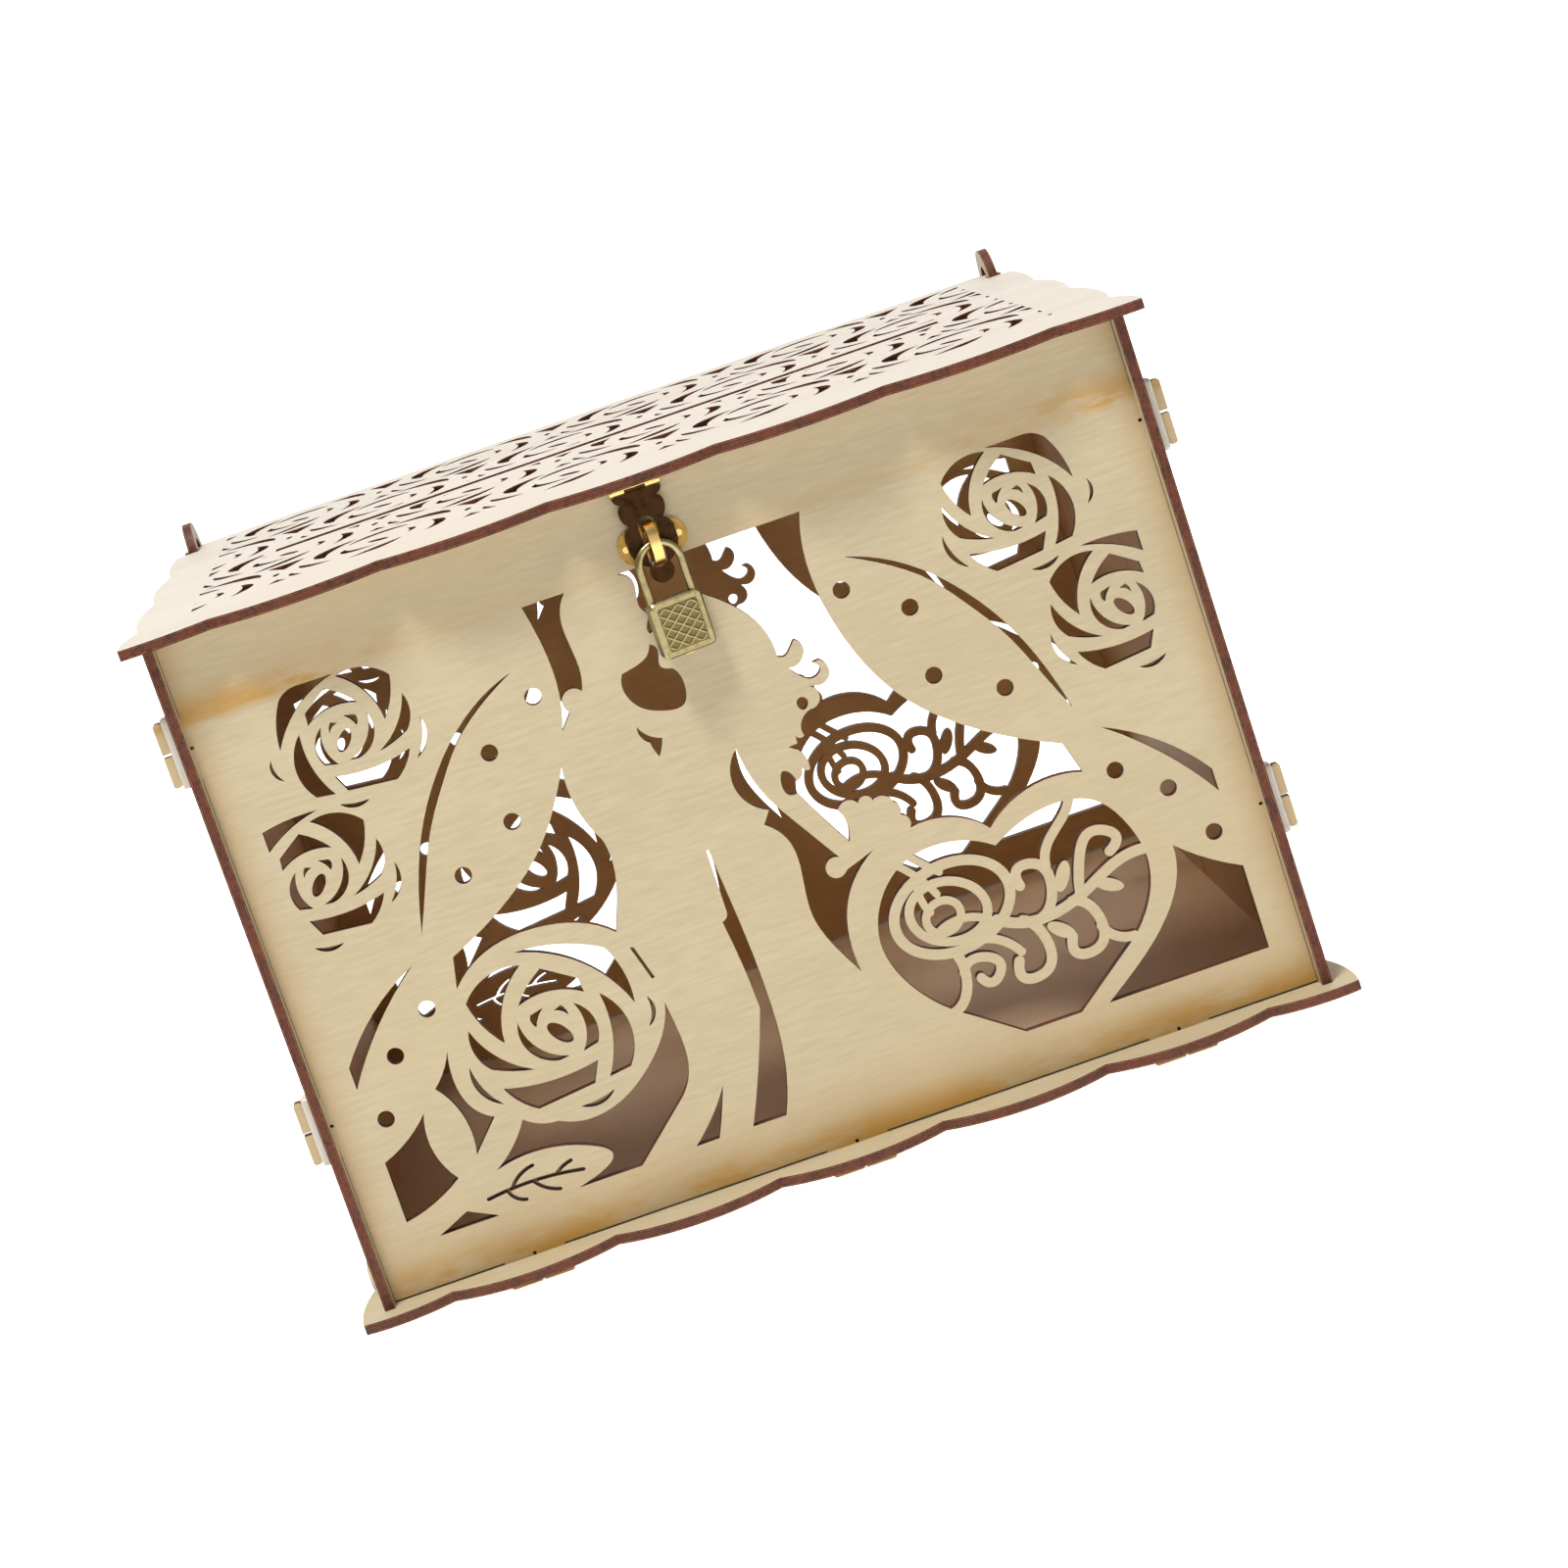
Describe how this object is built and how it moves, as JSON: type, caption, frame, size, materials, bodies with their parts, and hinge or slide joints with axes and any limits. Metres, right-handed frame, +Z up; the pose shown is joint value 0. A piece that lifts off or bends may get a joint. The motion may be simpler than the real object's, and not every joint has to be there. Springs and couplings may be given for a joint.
{
  "type": "wedding card box",
  "caption": "Laser-cut plywood wedding card box with pierced picture panels, a hinged rose-lattice lid with a card slot, a hasp and a small padlock.",
  "frame": {"origin": "middle of the footprint, on the table under the tab heads", "axes": "+X to the viewer's right, +Y to the back, +Z up; the hasp is on the -Y side"},
  "size_m": [0.3, 0.25, 0.2212],
  "materials": {
    "plywood": "laser-cut birch plywood, burnt edges",
    "lid_plywood": "pale birch plywood, burnt edges",
    "rubber_band": "milky white, slightly translucent",
    "gilt_metal": "bright gilt",
    "bronze_metal": "dark antique bronze",
    "padlock_metal": "antique silver-gold, hatched faces",
    "steel": "plain steel"
  },
  "bodies": {
    "box": {"base_panel": "plywood", "front_panel": "plywood", "back_panel": "plywood", "left_side_panel": "plywood", "right_side_panel": "plywood", "band_left_front_low": "rubber_band", "band_left_front_high": "rubber_band", "band_left_back_low": "rubber_band", "band_left_back_high": "rubber_band", "band_right_front_low": "rubber_band", "band_right_front_high": "rubber_band", "band_right_back_low": "rubber_band", "band_right_back_high": "rubber_band", "band_base_left_front": "rubber_band", "band_base_left_back": "rubber_band", "band_base_right_front": "rubber_band", "band_base_right_back": "rubber_band", "band_base_front_left": "rubber_band", "band_base_front_middle": "rubber_band", "band_base_front_right": "rubber_band", "band_base_back_left": "rubber_band", "band_base_back_middle": "rubber_band", "band_base_back_right": "rubber_band", "staple_plate": "bronze_metal", "staple": "gilt_metal", "plate_nails": "gilt_metal"},
    "lid": {"lid_panel": "lid_plywood", "hasp_lid_leaf": "gilt_metal", "hasp_pin": "gilt_metal", "leaf_nails": "gilt_metal"},
    "hasp": {"hasp_strap": "bronze_metal"},
    "shackle": {"shackle": "padlock_metal"},
    "case": {"padlock_front_shell": "padlock_metal", "padlock_back_shell": "padlock_metal", "padlock_rivets": "gilt_metal", "latch_bolt": "steel", "latch_spring": "steel"},
    "key_plug": {"key_plug": "gilt_metal"}
  },
  "joints": [
    {"name": "lid_hinge", "type": "hinge", "parent": "box", "child": "lid", "pos_m": [0, 0.0985, 0.2107], "axis": [-1, 0, 0], "range_deg": [0, 100]},
    {"name": "hasp_hinge", "type": "hinge", "parent": "lid", "child": "hasp", "pos_m": [0, -0.1141, 0.208], "axis": [-1, 0, 0], "range_deg": [0, 98]},
    {"name": "padlock_off", "type": "slide", "parent": "box", "child": "shackle", "axis": [0, -1, 0], "range_m": [0, 0.09]},
    {"name": "case_drop", "type": "slide", "parent": "shackle", "child": "case", "axis": [0, 0, -1], "range_m": [0, 0.0055]},
    {"name": "key_turn", "type": "hinge", "parent": "case", "child": "key_plug", "pos_m": [0, -0.1162, 0.16], "axis": [0, 0, 1], "range_deg": [0, 90]}
  ]
}
